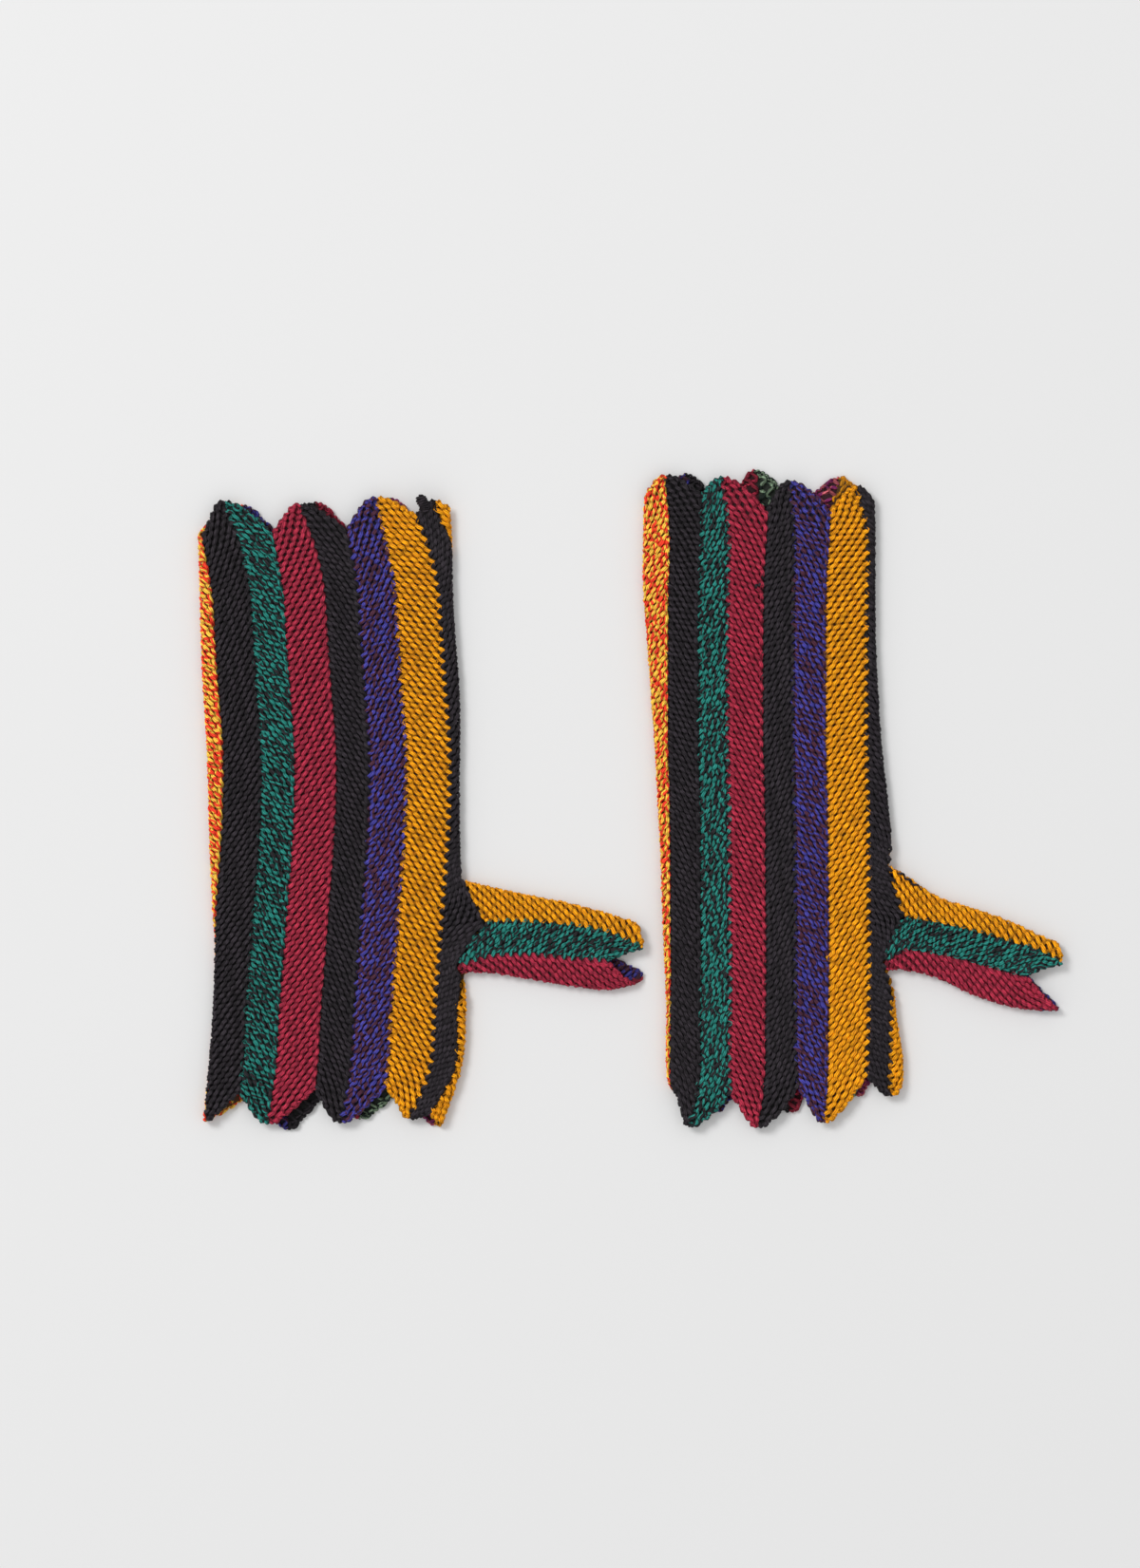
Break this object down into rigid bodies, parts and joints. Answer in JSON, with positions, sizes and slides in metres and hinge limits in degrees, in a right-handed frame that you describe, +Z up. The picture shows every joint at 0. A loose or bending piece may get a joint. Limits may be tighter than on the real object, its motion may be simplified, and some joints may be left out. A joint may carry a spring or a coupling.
{
  "type": "pair of gloves",
  "caption": "Pair of long fingerless knitted gloves in zigzag-ended lengthwise stripes, each with a thumb tube, laid flat side by side.",
  "frame": {"origin": "under the middle of the pair, on the surface that it rests on", "axes": "+X across both gloves towards their thumbs, +Y along them to the arm openings, +Z up from the surface"},
  "size_m": [0.327, 0.2492, 0.0095],
  "materials": {
    "black_yarn": "matt two-ply yarn, near black",
    "green_yarn": "matt two-ply marl yarn, teal green with dark strands",
    "burgundy_yarn": "matt two-ply yarn, burgundy",
    "purple_yarn": "matt two-ply marl yarn, violet blue with plum brown strands",
    "mustard_yarn": "matt two-ply yarn, mustard yellow",
    "pink_yarn": "matt two-ply marl yarn, rose pink with plum strands",
    "sage_yarn": "matt two-ply marl yarn, grey green with dark strands",
    "orange_yarn": "matt two-ply marl yarn, orange with yellow strands"
  },
  "bodies": {
    "root": {"left_front_black_a": "black_yarn", "left_front_green": "green_yarn", "left_front_burgundy": "burgundy_yarn", "left_front_black_b": "black_yarn", "left_front_purple": "purple_yarn", "left_front_mustard": "mustard_yarn", "left_thumbside_black": "black_yarn", "left_back_mustard": "mustard_yarn", "left_back_pink": "pink_yarn", "left_back_sage": "sage_yarn", "left_back_burgundy": "burgundy_yarn", "left_back_black": "black_yarn", "left_back_purple": "purple_yarn", "left_side_orange": "orange_yarn", "left_thumb_green": "green_yarn", "left_thumb_burgundy": "burgundy_yarn", "left_thumb_purple": "purple_yarn", "left_thumb_mustard": "mustard_yarn", "right_front_black_a": "black_yarn", "right_front_green": "green_yarn", "right_front_burgundy": "burgundy_yarn", "right_front_black_b": "black_yarn", "right_front_purple": "purple_yarn", "right_front_mustard": "mustard_yarn", "right_thumbside_black": "black_yarn", "right_back_mustard": "mustard_yarn", "right_back_pink": "pink_yarn", "right_back_sage": "sage_yarn", "right_back_burgundy": "burgundy_yarn", "right_back_black": "black_yarn", "right_back_purple": "purple_yarn", "right_side_orange": "orange_yarn", "right_thumb_green": "green_yarn", "right_thumb_burgundy": "burgundy_yarn", "right_thumb_purple": "purple_yarn", "right_thumb_mustard": "mustard_yarn"}
  },
  "joints": []
}
